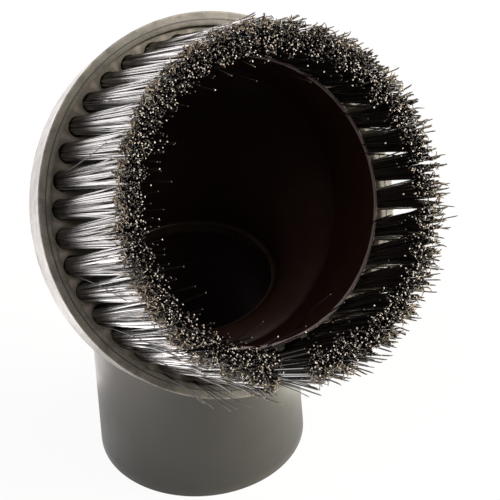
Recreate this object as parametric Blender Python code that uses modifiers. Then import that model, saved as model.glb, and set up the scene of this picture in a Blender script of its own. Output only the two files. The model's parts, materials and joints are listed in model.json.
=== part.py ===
"""Anti-static brush: a round dusting head on a bent neck that pushes onto a vacuum cleaner's wand.

Metres, +Z up. The brush stands on the open end of its neck and faces -Y and up. The neck's
axis is vertical. The brush axis leans back from it by BEND, and everything turned about that
axis is modelled in head_frame, whose origin is the middle of the rim's front plane.
"""

import math
import random

import bmesh
import bpy
import numpy as np

# Head: the bristle channel's outer wall, measured at its front edge.
HEAD_RADIUS = 0.0380
RIM_WALL = 0.0027
RIM_DRAFT = math.radians(11.8)
RIM_EDGE_ROUND = 0.0004
RIM_BACK_ROUND = 0.0014
CHANNEL_FLOOR = 0.0020

# How the head sits on the neck.
BEND = math.radians(51.9)
NECK_LENGTH = 0.0579
HEAD_SETBACK = 0.0164

# Neck, and the socket for a 35 mm wand inside it.
SOCKET_RADIUS = 0.0175
NECK_WALL = 0.0022
GRIP_LENGTH = 0.0284
GRIP_STEP = 0.0003
STOP_HEIGHT = 0.0026
STOP_STEP = 0.0013
SOCKET_LEAD_IN = 0.0006

# Hood, the hollow bend between the channel and the neck.
HOOD_WALL = 0.0022
THROAT_INSIDE = 0.0013
THROAT_OUTSIDE = 0.0026

# Bristle ring, which snaps into the channel and carries the collar.
RING_RECESS = 0.0020
RING_THICKNESS = 0.0051
RING_WIDTH = 0.0067
COLLAR_WALL = 0.0010
COLLAR_RISE = 0.0122
COLLAR_DRAFT = 0.0002
BEAD_RISE = 0.0004
BEAD_DEPTH = 0.0026
BEAD_LENGTH = 0.0012

# Tufts: folded bundles of nylon in blind holes round the ring. A strand's shares are of its
# thickness at the root, and of its lean that comes late.
TUFTS = 36
TUFT_INSET = 0.00285
FIRST_TUFT = math.radians(7.0)
HOLE_RADIUS = 0.00205
HOLE_DEPTH = 0.0044
ROOT_RADIUS = 0.00178
ROOT_SUNK = 0.0004
TIP_HEIGHT = 0.0290
TIP_UNEVEN = 0.0007
TIP_SPREAD_OUTWARD = 0.00445
TIP_SPREAD_INWARD = 0.00525
TIP_SECTOR_SHARE = 0.80
TIP_SCATTER = math.radians(0.25)
STRAND_MIDDLE_SHARE = 0.80
STRAND_TIP_SHARE = 0.62
STRAND_BOW = 0.00015
STRAND_FLARE_SHARE = 0.75

# What neighbouring pieces keep between them.
FIT_GAP = 0.0003

# Facets: steps round a turned piece, points round the hood, its sections, and sides of a hole.
TURN_STEPS = 72
HOOD_POINTS = 60
HOOD_SECTIONS = 9
HOLE_SIDES = 12
OVERRUN = 0.0010

# Heights along the brush axis, from the rim's front plane.
RING_FACE = -RING_RECESS
RING_BACK = RING_FACE - RING_THICKNESS
SEAT = RING_BACK - FIT_GAP
CHANNEL_BACK = SEAT - CHANNEL_FLOOR
CHANNEL_RADIUS = HEAD_RADIUS - RIM_WALL
RING_RADIUS = CHANNEL_RADIUS - FIT_GAP
NECK_RADIUS = SOCKET_RADIUS + NECK_WALL
STOP_RADIUS = SOCKET_RADIUS - STOP_STEP
COLLAR_BORE = RING_RADIUS - RING_WIDTH
HOOD_RADIUS = COLLAR_BORE + HOOD_WALL
TUFT_CIRCLE = RING_RADIUS - TUFT_INSET
TIP_OUTER_RADIUS = TUFT_CIRCLE + TIP_SPREAD_OUTWARD
TIP_INNER_RADIUS = TUFT_CIRCLE - TIP_SPREAD_INWARD
ROOT_TOP = RING_FACE - ROOT_SUNK
ROOT_BOTTOM = RING_FACE - HOLE_DEPTH + FIT_GAP
ROOT_REACH_SHARE = 0.75  # of its radius, to the middles of its outermost strands


def clear_scene():
    """Removes whatever the file opened with."""
    for obj in list(bpy.data.objects):
        bpy.data.objects.remove(obj, do_unlink=True)


def make_collection(name):
    collection = bpy.data.collections.new(name)
    bpy.context.scene.collection.children.link(collection)
    return collection


def make_material(name, colour, roughness, coat=0.0):
    """A plastic finish, with colour in linear values."""
    material = bpy.data.materials.new(name)
    material.use_nodes = True
    shader = material.node_tree.nodes["Principled BSDF"]
    shader.inputs["Base Color"].default_value = (*colour, 1.0)
    shader.inputs["Roughness"].default_value = roughness
    shader.inputs["Metallic"].default_value = 0.0
    shader.inputs["Coat Weight"].default_value = coat
    material.diffuse_color = (*colour, 1.0)
    return material


def make_empty(name, parent=None, location=(0.0, 0.0, 0.0), rotation=(0.0, 0.0, 0.0)):
    empty = bpy.data.objects.new(name, None)
    empty.empty_display_size = NECK_RADIUS
    empty.location = location
    empty.rotation_euler = rotation
    empty.parent = parent
    bpy.context.scene.collection.objects.link(empty)
    return empty


def make_object(name, mesh, collection, parent, material=None):
    obj = bpy.data.objects.new(name, mesh)
    obj.parent = parent
    collection.objects.link(obj)
    if material:
        mesh.materials.append(material)
    return obj


def as_helper(obj):
    """Marks a cutter or a joined shape, which isn't a piece of the brush."""
    obj.hide_render = True
    obj.display_type = "WIRE"
    return obj


def turned(name, profile, closed, collection, parent, material=None):
    """Turns (radius, height) points about the object's Z. They run down the outer side."""
    points = [(radius, 0.0, height) for radius, height in profile]
    edges = [(i, i + 1) for i in range(len(points) - 1)]
    if closed:
        edges.append((len(points) - 1, 0))
    mesh = bpy.data.meshes.new(name)
    mesh.from_pydata(points, edges, [])
    obj = make_object(name, mesh, collection, parent, material)
    screw = obj.modifiers.new("turn", "SCREW")
    screw.steps = TURN_STEPS
    screw.render_steps = TURN_STEPS
    screw.use_merge_vertices = True
    screw.merge_threshold = 0.00001
    screw.use_smooth_shade = True
    return obj


def lofted(name, sections, collection, parent, material=None):
    """Skins closed sections of equal point counts, first to last, and caps both ends."""
    rows, count, _ = sections.shape
    points = sections.reshape(-1, 3).tolist()
    faces = [tuple(range(count))]
    for row in range(rows - 1):
        for i in range(count):
            j = (i + 1) % count
            faces.append((row * count + j, row * count + i, (row + 1) * count + i, (row + 1) * count + j))
    faces.append(tuple(reversed(range((rows - 1) * count, rows * count))))
    mesh = bpy.data.meshes.new(name)
    mesh.from_pydata(points, [], faces)
    bm = bmesh.new()
    bm.from_mesh(mesh)
    bmesh.ops.recalc_face_normals(bm, faces=bm.faces)
    bm.to_mesh(mesh)
    bm.free()
    return make_object(name, mesh, collection, parent, material)


def boolean(obj, operation, other):
    modifier = obj.modifiers.new(f"{operation.lower()} {other.name}", "BOOLEAN")
    modifier.operation = operation
    modifier.object = other
    modifier.solver = "EXACT"


def settle(obj, sharp_angle=math.radians(32.0)):
    """Turns the modifiers' result into the object's own mesh, shaded smooth between sharp edges."""
    bpy.context.view_layer.update()
    evaluated = obj.evaluated_get(bpy.context.evaluated_depsgraph_get())
    mesh = bpy.data.meshes.new_from_object(evaluated)
    obj.modifiers.clear()
    obj.data = mesh
    mesh.name = obj.name
    mesh.shade_smooth()
    mesh.set_sharp_from_angle(angle=sharp_angle)


def arc(centre, radius, start, end, steps):
    """Points of a round corner, from one angle to the other, both included."""
    angles = np.linspace(start, end, steps + 1)
    return [(centre[0] + radius * math.cos(a), centre[1] + radius * math.sin(a)) for a in angles]


def rim_profile():
    """Half outline of the solid channel body: front face, drafted side, round corner, back."""
    edge = RIM_EDGE_ROUND
    back = RIM_BACK_ROUND
    side_end = HEAD_RADIUS + (CHANNEL_BACK + back) * math.tan(RIM_DRAFT)
    front = arc((HEAD_RADIUS - edge, -edge), edge, math.pi / 2, 0.0, 2)
    rear = arc((side_end - back, CHANNEL_BACK + back), back, 0.0, -math.pi / 2, 3)
    return [(0.0, 0.0), *front, *rear, (0.0, CHANNEL_BACK)]


def bead_profile(radius, middle, rise, length):
    """Four points of a snap bead, or of its groove, down the side of a turned piece."""
    return [
        (radius, middle + length / 2),
        (radius + rise, middle + length / 2 - rise),
        (radius + rise, middle - length / 2 + rise),
        (radius, middle - length / 2),
    ]


def channel_profile():
    """Half outline of what is cut from the channel body: the ring's seat with its snap groove."""
    groove = bead_profile(CHANNEL_RADIUS, RING_FACE - BEAD_DEPTH, BEAD_RISE, BEAD_LENGTH + 2 * FIT_GAP)
    return [(0.0, OVERRUN), (CHANNEL_RADIUS, OVERRUN), *groove, (CHANNEL_RADIUS, SEAT), (0.0, SEAT)]


def ring_profile():
    """Closed outline of the bristle ring with its collar, from the face's outer edge down."""
    bead = bead_profile(RING_RADIUS, RING_FACE - BEAD_DEPTH, BEAD_RISE, BEAD_LENGTH)
    lip = COLLAR_WALL * 0.3
    outside = COLLAR_BORE + COLLAR_WALL
    return [
        (RING_RADIUS - lip, RING_FACE),
        (RING_RADIUS, RING_FACE - lip),
        *bead,
        (RING_RADIUS, RING_BACK),
        (COLLAR_BORE, RING_BACK),
        (COLLAR_BORE, COLLAR_RISE - lip),
        (COLLAR_BORE + lip, COLLAR_RISE),
        (outside - lip, COLLAR_RISE),
        (outside, COLLAR_RISE - lip),
        (outside + COLLAR_DRAFT, RING_FACE),
    ]


def on_head_plane(height, along):
    """The (y, z) of a point on the symmetry plane, in neck_frame.

    height runs along the brush axis from the rim plane, along runs up the head's face.
    """
    axial = HEAD_SETBACK + height
    y = -axial * math.sin(BEND) + along * math.cos(BEND)
    z = NECK_LENGTH + axial * math.cos(BEND) + along * math.sin(BEND)
    return np.array([y, z])


def ellipse_section(origin, angle, near, far, half_width):
    """A closed section through the line that the bend turns about.

    Its plane leaves origin at this angle above level. near and far are its reach from there.
    """
    turn = np.linspace(0.0, 2 * math.pi, HOOD_POINTS, endpoint=False)
    reach = (near + far) / 2 + (far - near) / 2 * np.cos(turn)
    x = half_width * np.sin(turn)
    return np.stack([x, origin[0] + reach * math.cos(angle), origin[1] + reach * math.sin(angle)], axis=1)


def level_section(radius, z):
    """A closed round section of the neck at this height."""
    return ellipse_section(np.array([-radius, z]), 0.0, 0.0, 2 * radius, radius)


def bend_sections(height, overrun, head_radius, throat, neck_radius):
    """Sections from the head, at this height on its axis, round to the level top of the neck.

    The bend turns about a line beside the throat. The reach and the width of a section change
    along the bend by the blend 3s^2 - 2s^3, so the wall leaves both ends square to them.
    """
    hinge = on_head_plane(height, -(head_radius + throat))
    inside = on_head_plane(height + overrun, -(head_radius + throat))
    sections = [ellipse_section(inside, BEND, throat, throat + 2 * head_radius, head_radius)]
    neck_near = -hinge[0] - neck_radius
    for step in np.linspace(0.0, 1.0, HOOD_SECTIONS):
        blend = step * step * (3 - 2 * step)
        near = throat + (neck_near - throat) * blend
        width = head_radius + (neck_radius - head_radius) * blend
        far = (throat + 2 * head_radius) * (1 - blend) + (neck_near + 2 * neck_radius) * blend
        sections.append(ellipse_section(hinge, BEND * (1 - step), near, far, width))
    return sections, hinge[1]


def hood_sections():
    """The outside of the hood and the neck, down to the neck's end."""
    sections, _ = bend_sections(CHANNEL_BACK, OVERRUN, HOOD_RADIUS, THROAT_OUTSIDE, NECK_RADIUS)
    edge = RIM_EDGE_ROUND
    sections.append(level_section(NECK_RADIUS, edge))
    sections.append(level_section(NECK_RADIUS - edge, 0.0))
    return np.array(sections)


def core_sections():
    """The inside: the chamber, the wand's stop, the grip and the lead-in at the neck's end."""
    duct = SOCKET_RADIUS - GRIP_STEP
    sections, stop_top = bend_sections(SEAT, OVERRUN, COLLAR_BORE, THROAT_INSIDE, duct)
    stop_bottom = stop_top - STOP_HEIGHT
    for radius, z in (
        (STOP_RADIUS, stop_top),
        (STOP_RADIUS, stop_bottom),
        (duct, stop_bottom),
        (duct, GRIP_LENGTH + GRIP_STEP),
        (SOCKET_RADIUS, GRIP_LENGTH),
        (SOCKET_RADIUS, SOCKET_LEAD_IN),
        (SOCKET_RADIUS + SOCKET_LEAD_IN, 0.0),
        (SOCKET_RADIUS + SOCKET_LEAD_IN, -OVERRUN),
    ):
        sections.append(level_section(radius, z))
    return np.array(sections)


def build_housing(parts, cutters, neck_frame, head_frame, material):
    """The one moulding of channel, hood and neck."""
    housing = turned("elbow_housing", rim_profile(), False, parts, head_frame, material)
    hood = as_helper(lofted("hood_solid", hood_sections(), cutters, neck_frame))
    channel = as_helper(turned("channel_cutter", channel_profile(), False, cutters, head_frame))
    core = as_helper(lofted("core_cutter", core_sections(), cutters, neck_frame))
    boolean(housing, "UNION", hood)
    boolean(housing, "DIFFERENCE", channel)
    boolean(housing, "DIFFERENCE", core)
    settle(housing)
    return housing


def tuft_angle(index):
    return FIRST_TUFT + 2 * math.pi * index / TUFTS


def hole_cutter(cutters, head_frame):
    """All the tuft holes as one cutter."""
    bm = bmesh.new()
    length = HOLE_DEPTH + OVERRUN
    for index in range(TUFTS):
        angle = tuft_angle(index)
        added = bmesh.ops.create_cone(
            bm, cap_ends=True, segments=HOLE_SIDES, radius1=HOLE_RADIUS, radius2=HOLE_RADIUS, depth=length
        )
        centre = (
            TUFT_CIRCLE * math.cos(angle),
            TUFT_CIRCLE * math.sin(angle),
            RING_FACE - HOLE_DEPTH + length / 2,
        )
        bmesh.ops.translate(bm, verts=added["verts"], vec=centre)
    mesh = bpy.data.meshes.new("hole_cutter")
    bm.to_mesh(mesh)
    bm.free()
    return as_helper(make_object("hole_cutter", mesh, cutters, head_frame))


def build_ring(parts, cutters, head_frame, material):
    """The ring that carries the tufts, with the collar that stands up inside them."""
    ring = turned("bristle_ring", ring_profile(), True, parts, head_frame, material)
    boolean(ring, "DIFFERENCE", hole_cutter(cutters, head_frame))
    settle(ring)
    return ring


def root_lattice():
    """A hexagon of side 2 on a triangular lattice: its points, and its faces by which way they point."""
    places = [(i, j) for j in range(-2, 3) for i in range(-2, 3) if abs(i + j) <= 2]
    number = {place: index for index, place in enumerate(places)}
    half = ROOT_RADIUS / 2
    points = [(half * (i + j / 2), half * j * math.sqrt(3) / 2) for i, j in places]
    upward = [((i, j), (i + 1, j), (i, j + 1)) for i, j in places]
    downward = [((i + 1, j), (i + 1, j + 1), (i, j + 1)) for i in range(-3, 3) for j in range(-3, 3)]

    def known(faces):
        return [[number[place] for place in face] for face in faces if all(p in number for p in face)]

    return points, known(upward), known(downward)


def strand_centre(root, tip, bow, share):
    """Where a strand's middle is at this share of its height, as it fans out to its tip.

    It leaves its root almost straight and turns towards its tip by the square of the share. The
    bow to one side is greatest at half height.
    """
    lean = STRAND_FLARE_SHARE * share * share + (1 - STRAND_FLARE_SHARE) * share
    aside = bow * math.sin(math.pi * share)
    return root[0] + (tip[0] - root[0]) * lean, root[1] + (tip[1] - root[1]) * lean + aside


def strand_tip(root, scatter):
    """A strand's tip from its place in the root, in the tuft's own x (outward) and y.

    The root's reach outward is spread over the tips' radii, and its breadth over the tuft's
    sector of the circle, so that no strand crosses another.
    """
    middle = (TIP_OUTER_RADIUS + TIP_INNER_RADIUS) / 2
    spread = (TIP_OUTER_RADIUS - TIP_INNER_RADIUS) / 2
    radius = middle + spread * root[0] / (ROOT_RADIUS * ROOT_REACH_SHARE)
    angle = math.pi / TUFTS * TIP_SECTOR_SHARE * root[1] / ROOT_RADIUS + scatter
    return radius * math.cos(angle) - TUFT_CIRCLE, radius * math.sin(angle)


def root_block(bm):
    """The six-sided root. Returns the faces of its top that strands grow from."""
    points, upward, downward = root_lattice()
    top = [bm.verts.new((x, y, ROOT_TOP)) for x, y in points]
    for face in downward:
        bm.faces.new([top[i] for i in face])
    strands = [bm.faces.new([top[i] for i in face]) for face in upward]
    outline = [edge for edge in bm.edges if len(edge.link_faces) == 1]
    added = bmesh.ops.extrude_edge_only(bm, edges=outline)["geom"]
    low = {item for item in added if isinstance(item, bmesh.types.BMVert)}
    for vert in low:
        vert.co.z = ROOT_BOTTOM
    low_edges = [item for item in added if isinstance(item, bmesh.types.BMEdge) and low.issuperset(item.verts)]
    bmesh.ops.contextual_create(bm, geom=low_edges)
    return strands


def grow_strand(bm, face, chance):
    """Draws one face of the root's top out to its tip, half way first."""
    root = face.calc_center_median().copy()
    corners = [vert.co - root for vert in face.verts]
    tip = strand_tip(root, TIP_SCATTER * chance.uniform(-1, 1))
    bow = STRAND_BOW * chance.uniform(-1, 1)
    tip_height = TIP_HEIGHT + TIP_UNEVEN * chance.uniform(-1, 1)
    for share, size in ((0.5, STRAND_MIDDLE_SHARE), (1.0, STRAND_TIP_SHARE)):
        face = bmesh.ops.extrude_discrete_faces(bm, faces=[face])["faces"][0]
        x, y = strand_centre(root, tip, bow, share)
        z = ROOT_TOP + (tip_height - ROOT_TOP) * share
        for vert, corner in zip(face.verts, corners):
            vert.co = (x + corner.x * size, y + corner.y * size, z)


def tuft_mesh(index, material):
    """One tuft: a six-sided root, and a three-sided strand on every other face of its top."""
    chance = random.Random(index)
    bm = bmesh.new()
    for face in root_block(bm):
        grow_strand(bm, face, chance)
    bmesh.ops.recalc_face_normals(bm, faces=bm.faces)
    mesh = bpy.data.meshes.new(f"tuft_{index + 1:02d}")
    bm.to_mesh(mesh)
    bm.free()
    mesh.materials.append(material)
    return mesh


def build_tufts(parts, head_frame, material):
    """Each tuft stands in its hole, with its own x pointing out from the brush axis."""
    tufts = []
    for index in range(TUFTS):
        angle = tuft_angle(index)
        tuft = make_object(f"tuft_{index + 1:02d}", tuft_mesh(index, material), parts, head_frame)
        tuft.location = (TUFT_CIRCLE * math.cos(angle), TUFT_CIRCLE * math.sin(angle), 0.0)
        tuft.rotation_euler = (0.0, 0.0, angle)
        tufts.append(tuft)
    return tufts


def reach_along_y(objects):
    """The least and the greatest y of these pieces, as they stand."""
    bpy.context.view_layer.update()
    found = []
    for obj in objects:
        places = np.empty(len(obj.data.vertices) * 3, np.float32)
        obj.data.vertices.foreach_get("co", places)
        world = np.array(obj.matrix_world)
        found.append(places.reshape(-1, 3) @ world[1, :3] + world[1, 3])
    found = np.concatenate(found)
    return float(found.min()), float(found.max())


def main():
    clear_scene()
    parts = make_collection("anti_static_brush")
    cutters = make_collection("cutters")
    cutters.hide_render = True
    body = make_material("body_plastic", (0.060, 0.056, 0.050), 0.42)
    ring_plastic = make_material("ring_plastic", (0.075, 0.068, 0.055), 0.48)
    nylon = make_material("bristle_nylon", (0.008, 0.008, 0.009), 0.30, 0.2)

    neck_frame = make_empty("neck_frame")
    rim_y, rim_z = on_head_plane(0.0, 0.0)
    head_frame = make_empty("head_frame", neck_frame, (0.0, rim_y, rim_z), (BEND, 0.0, 0.0))
    pieces = [
        build_housing(parts, cutters, neck_frame, head_frame, body),
        build_ring(parts, cutters, head_frame, ring_plastic),
        *build_tufts(parts, head_frame, nylon),
    ]
    least, greatest = reach_along_y(pieces)
    neck_frame.location.y = -(least + greatest) / 2
    bpy.context.view_layer.update()
    print(f"neck axis at y = {neck_frame.location.y:.6f}")
    print(f"rim plane's middle at y = {neck_frame.location.y + rim_y:.6f}, z = {rim_z:.6f}")


if __name__ == "__main__":
    main()
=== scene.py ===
import json
import math

import bmesh
import bpy
import numpy as np
from mathutils import Matrix, Vector


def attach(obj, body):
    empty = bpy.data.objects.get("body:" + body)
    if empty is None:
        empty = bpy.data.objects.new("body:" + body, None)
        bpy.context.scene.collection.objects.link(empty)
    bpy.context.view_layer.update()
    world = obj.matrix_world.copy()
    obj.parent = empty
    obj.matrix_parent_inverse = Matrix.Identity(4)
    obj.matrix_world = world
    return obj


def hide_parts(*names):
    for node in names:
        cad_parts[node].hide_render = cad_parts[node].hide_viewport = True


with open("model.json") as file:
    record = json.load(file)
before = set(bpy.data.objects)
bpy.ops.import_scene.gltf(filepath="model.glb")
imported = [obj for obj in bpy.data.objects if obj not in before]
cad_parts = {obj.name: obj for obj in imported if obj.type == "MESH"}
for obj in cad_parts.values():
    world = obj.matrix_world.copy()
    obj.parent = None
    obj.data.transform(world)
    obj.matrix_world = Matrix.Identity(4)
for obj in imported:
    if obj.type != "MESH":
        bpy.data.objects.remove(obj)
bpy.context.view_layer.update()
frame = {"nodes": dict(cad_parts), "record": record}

bl_info = {
    "name": "Round Dusting Brush",
    "version": (1, 0, 0),
    "blender": (4, 5, 0),
    "location": "View3D > Sidebar > Dusting Brush",
    "description": "Builds the housing, the bristle ring, the tufts and the stage of a dusting brush",
    "category": "Object",
}

MM = 0.001
TUFT_NODES = sorted(name for name in frame["nodes"] if name.startswith("tuft_"))
MOUNTS = {mount["name"]: mount for mount in frame["record"]["mounts"]}
NECK_Y = MOUNTS["socket_end"]["pos_m"][1]


# Settings

def length(name, description, millimetres):
    """A length that is written in millimetres and kept in metres."""
    return bpy.props.FloatProperty(
        name=name, description=description, default=millimetres * MM, unit="LENGTH", precision=5
    )


def angle(name, description, degrees):
    """An angle that is written in degrees and kept in radians."""
    return bpy.props.FloatProperty(
        name=name, description=description, default=math.radians(degrees), subtype="ANGLE"
    )


def share(name, description, default):
    """A share of one."""
    return bpy.props.FloatProperty(name=name, description=description, default=default, subtype="FACTOR")


def colour(name, description, default):
    """A linear colour."""
    return bpy.props.FloatVectorProperty(
        name=name, description=description, default=default, size=3, min=0.0, max=1.0, subtype="COLOR"
    )


class HeadSettings(bpy.types.PropertyGroup):
    """Where the head stands on its neck, and the sizes that its pieces share"""

    radius: length("Radius", "Outside of the rim at its front edge", 38.0)
    bend: angle("Bend", "Lean of the brush axis from the neck", 51.9)
    neck_length: length("Neck length", "From the neck's end to where the two axes meet", 57.9)
    setback: length("Setback", "From where the axes meet to the rim's front plane", 16.4)
    ring_recess: length("Ring recess", "Depth of the ring's face below the rim", 2.0)
    ring_radius: length("Ring radius", "Outside of the bristle ring", 35.0)
    ring_thickness: length("Ring thickness", "From the ring's face to its back", 5.1)
    bore: length("Bore", "Inside radius of the collar and of the hood's mouth", 28.3)
    gap: length("Gap", "Clearance between ring and channel", 0.3)
    tufts: bpy.props.IntProperty(name="Tufts", description="Tufts round the ring", default=36, min=3)
    tuft_circle: length("Tuft circle", "Radius of the circle that the holes lie on", 32.15)
    first_tuft: angle("First tuft", "Place of the first hole, from the head's x", 7.0)


class HousingSettings(bpy.types.PropertyGroup):
    """Sizes and finish of the moulding"""

    channel_radius: length("Channel radius", "Inside of the rim's wall", 35.3)
    floor: length("Channel floor", "Thickness behind the ring", 2.0)
    draft: angle("Rim draft", "Taper of the rim's side wall", 11.8)
    edge_round: length("Edge round", "Radius of the rim's front edge and the neck's end", 0.15)
    back_round: length("Back round", "Radius of the rim's back corner", 1.4)
    band: length("Inner band", "Width of the lip's inner band", 1.15)
    hood_wall: length("Hood wall", "Thickness of the hood", 2.2)
    fillet: length("Fillet", "Where the hood meets the back of the rim", 0.6)
    throat_outside: length("Outer throat", "From the bend's hinge line to the hood's outside", 2.6)
    throat_inside: length("Inner throat", "From the bend's hinge line to the hood's inside", 1.3)
    socket: length("Socket", "Inside radius at the neck's end", 17.5)
    neck_wall: length("Neck wall", "Thickness of the neck", 2.5)
    grip_step: length("Grip step", "How much the socket narrows to hold the wand", 0.3)
    grip_length: length("Grip length", "From the neck's end to that step", 28.4)
    stop_step: length("Stop step", "How far the wand's stop stands in", 1.3)
    stop_height: length("Stop height", "Height of the wand's stop", 2.6)
    lead_in: length("Lead-in", "Chamfer at the socket's mouth", 0.6)
    plastic: colour("Plastic", "Colour of the moulding", (0.041, 0.0375, 0.031))
    # Also painted light: this pale colour lights the upper end of the channel's wall, where it lies in
    # shade, and in part the rim's side.
    worn_and_painted_light: colour("Worn plastic and painted light", "Colour of its rubbed edges", (0.30, 0.27, 0.225))
    # Painted shade: a darker copy of the plastic for the channel's floor, the socket and the hood's chamber,
    # where shade falls.
    inside: colour("Inside", "Colour deep in the hood and the neck", (0.0165, 0.0050, 0.0030))
    # Painted light: a paler colour that stands in for light on the wand's stop and in the chamber towards
    # its mouth.
    painted_light_inside: colour("Painted light inside", "Colour of the dust film inside", (0.060, 0.045, 0.030))
    grain: length("Grain", "Size of the moulded grain", 0.28)


class RingSettings(bpy.types.PropertyGroup):
    """Sizes and finish of the bristle ring and its collar"""

    collar_wall: length("Collar wall", "Thickness of the collar", 0.7)
    collar_rise: length("Collar rise", "Height of the collar over the rim's plane", 12.2)
    collar_draft: length("Collar draft", "How much thicker the collar is at its foot", 0.5)
    bead_rise: length("Bead rise", "Height of the snap bead", 0.4)
    bead_depth: length("Bead depth", "From the face to the bead's middle", 2.6)
    bead_length: length("Bead length", "Length of the bead along the axis", 1.2)
    hole: length("Hole", "Radius of a tuft's hole", 2.05)
    hole_depth: length("Hole depth", "Depth of a tuft's hole", 4.4)
    hole_edge: length("Hole edge", "Chamfer round each hole", 0.12)
    plastic: colour("Plastic", "Colour of the ring", (0.180, 0.158, 0.122))
    # Painted light in part: the lands between the holes carry this pale colour as lint and as painted
    # glints.
    worn_and_painted_light: colour("Worn plastic and painted light", "Colour of its rubbed lands", (0.40, 0.33, 0.29))
    lip: colour("Lip", "Colour of the collar's lip", (0.115, 0.082, 0.080))
    # Painted shade: a darker copy of the ring's plastic for its bore and its back.
    inside: colour("Inside", "Colour of the collar's bore", (0.0165, 0.0050, 0.0030))
    grain: length("Grain", "Size of the moulded grain", 0.22)


class TuftSettings(bpy.types.PropertyGroup):
    """Numbers, sizes and finish of the filaments"""

    filaments: bpy.props.IntProperty(
        name="Filaments", description="Filaments in a tuft", default=210, min=1
    )
    thickness: length("Thickness", "Diameter of a filament", 0.30)
    root_radius: length("Root radius", "Radius of the bundle in its hole", 1.66)
    root_height: length("Root height", "Where the bundle is pinned, from the rim's plane", -5.6)
    height: length("Height", "Height of the tips over the rim's plane", 29.0)
    uneven: length("Uneven", "Scatter of the tips' height", 0.55)
    outer: length("Outer tips", "Mean radius of the outermost tips", 35.2)
    outer_down: length("Outer tips, down", "How much further out they reach at the bottom", 1.3)
    outer_tall: length("Outer tips, up and down", "How much further out they reach up and down", 0.65)
    inner: length("Inner tips", "Mean radius of the innermost tips", 29.0)
    inner_left: length("Inner tips, left", "How much further in they reach on the side at -X", 0.9)
    inner_up: length("Inner tips, up", "How much further in they reach at the top", 1.2)
    late: share("Late lean", "Share of a filament's outward lean that comes late in its height", -0.3)
    spread: share("Spread", "Share of its sector that a tuft's tips fill", 1.14)
    clumping: share("Clumping", "How far filaments draw together into bundles", 0.30)
    curled: share("Curled", "Share of the outer tips that curl", 0.75)
    loose: share("Loose", "Share of the outer filaments that stand out from their tuft", 0.26)
    nylon: colour("Nylon", "Colour of a filament", (0.005, 0.0022, 0.0017))
    # Partly painted glints: the pale cut ends stand in for glints on the black nylon as well as for its cut
    # faces.
    cut: colour("Cut end and painted glint", "Colour of a filament's cut end", (0.46, 0.405, 0.355))
    # Partly painted highlights: curled and loose ends are painted pale, standing in for highlights on the
    # nylon as well as for fraying.
    frayed_and_painted_highlight: colour("Frayed end and painted highlight", "Colour of a filament's frayed or curled end", (0.35, 0.285, 0.21))


class StageSettings(bpy.types.PropertyGroup):
    """The floor, the lamps and the camera"""

    azimuth: angle("Azimuth", "Camera's place round the brush, from the front", -31.2)
    elevation: angle("Elevation", "Camera's place over the horizon", 41.3)
    roll: angle("Roll", "Camera's turn about its own axis", 4.93)
    lens: bpy.props.FloatProperty(name="Lens", description="Focal length in mm", default=1500.0)
    across: length("Across", "Width of the picture at the brush", 97.73)
    aim_right: length("Aim right", "Picture's middle, to the right of the rim's", 6.52)
    aim_down: length("Aim down", "Picture's middle, below the rim's", 8.80)
    ambient: share("Ambient", "Strength of the even light from all round", 0.27)
    floor: colour("Floor", "Colour of the floor", (0.93, 0.93, 0.93))


# Placing

def stacked(*parts):
    """The parts as the last axis of one array, each stretched to the shape that they share."""
    return np.stack(np.broadcast_arrays(*parts), axis=-1)


def head_point(head, x, along, height):
    """Points of the head's own frame, in the world.

    x runs sideways, along runs up the head's face, height along the brush axis from the rim's plane.
    """
    axial, along = head.setback + np.asarray(height), np.asarray(along)
    sine, cosine = math.sin(head.bend), math.cos(head.bend)
    y, z = NECK_Y - axial * sine + along * cosine, head.neck_length + axial * cosine + along * sine
    return stacked(x, y, z)


def head_height(head, points):
    """How high points of the world stand over the rim's plane, along the brush axis."""
    y, z = points[..., 1] - NECK_Y, points[..., 2] - head.neck_length
    return -y * math.sin(head.bend) + z * math.cos(head.bend) - head.setback


def unit(vectors):
    """Vectors over their own lengths."""
    return vectors / np.linalg.norm(vectors, axis=-1, keepdims=True)


def revolve(head, profile, turn):
    """Rows of a turned surface: each (radius, height) of the profile goes round the brush axis."""
    radius, height = np.asarray(profile, float).T[:, :, None]
    return head_point(head, radius * np.sin(turn), radius * np.cos(turn), height)


def tuft_place(head, index):
    """Where a tuft stands, as the turn from the head's x."""
    return head.first_tuft + index * 2 * math.pi / head.tufts


def turned_into_place(head, points, angle_from_x):
    """Points of a tuft's own frame, turned about the brush axis and put in the world."""
    sine, cosine = np.sin(angle_from_x), np.cos(angle_from_x)
    x = points[..., 0] * cosine - points[..., 1] * sine
    along = points[..., 0] * sine + points[..., 1] * cosine
    return head_point(head, x, along, points[..., 2])


def corner(centre, radius, start, end, steps):
    """Points of a round corner, from one angle in degrees to the other, both included."""
    turn = np.radians(np.linspace(start, end, steps + 1))
    return np.asarray(centre) + radius * stacked(np.cos(turn), np.sin(turn))


# Meshes

def grid_faces(rows, columns, close_rows=False):
    """Quads between neighbours in a grid of points, numbered row by row, that closes round its columns."""
    row = np.arange(rows if close_rows else rows - 1)[:, None]
    column = np.arange(columns)[None, :]
    next_row, next_column = (row + 1) % rows, (column + 1) % columns
    corners = ((row, column), (row, next_column), (next_row, next_column), (next_row, column))
    return stacked(*[down * columns + along for down, along in corners]).reshape(-1, 4)


def signed_volume(points, faces):
    """Sum of the tetrahedra from the origin to each face's fan: negative where faces point inwards."""
    total = 0.0
    for block in faces:
        at = points[block]
        for k in range(1, block.shape[1] - 1):
            total += np.einsum("ij,ij->i", at[:, 0], np.cross(at[:, k], at[:, k + 1])).sum() / 6
    return total


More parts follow.
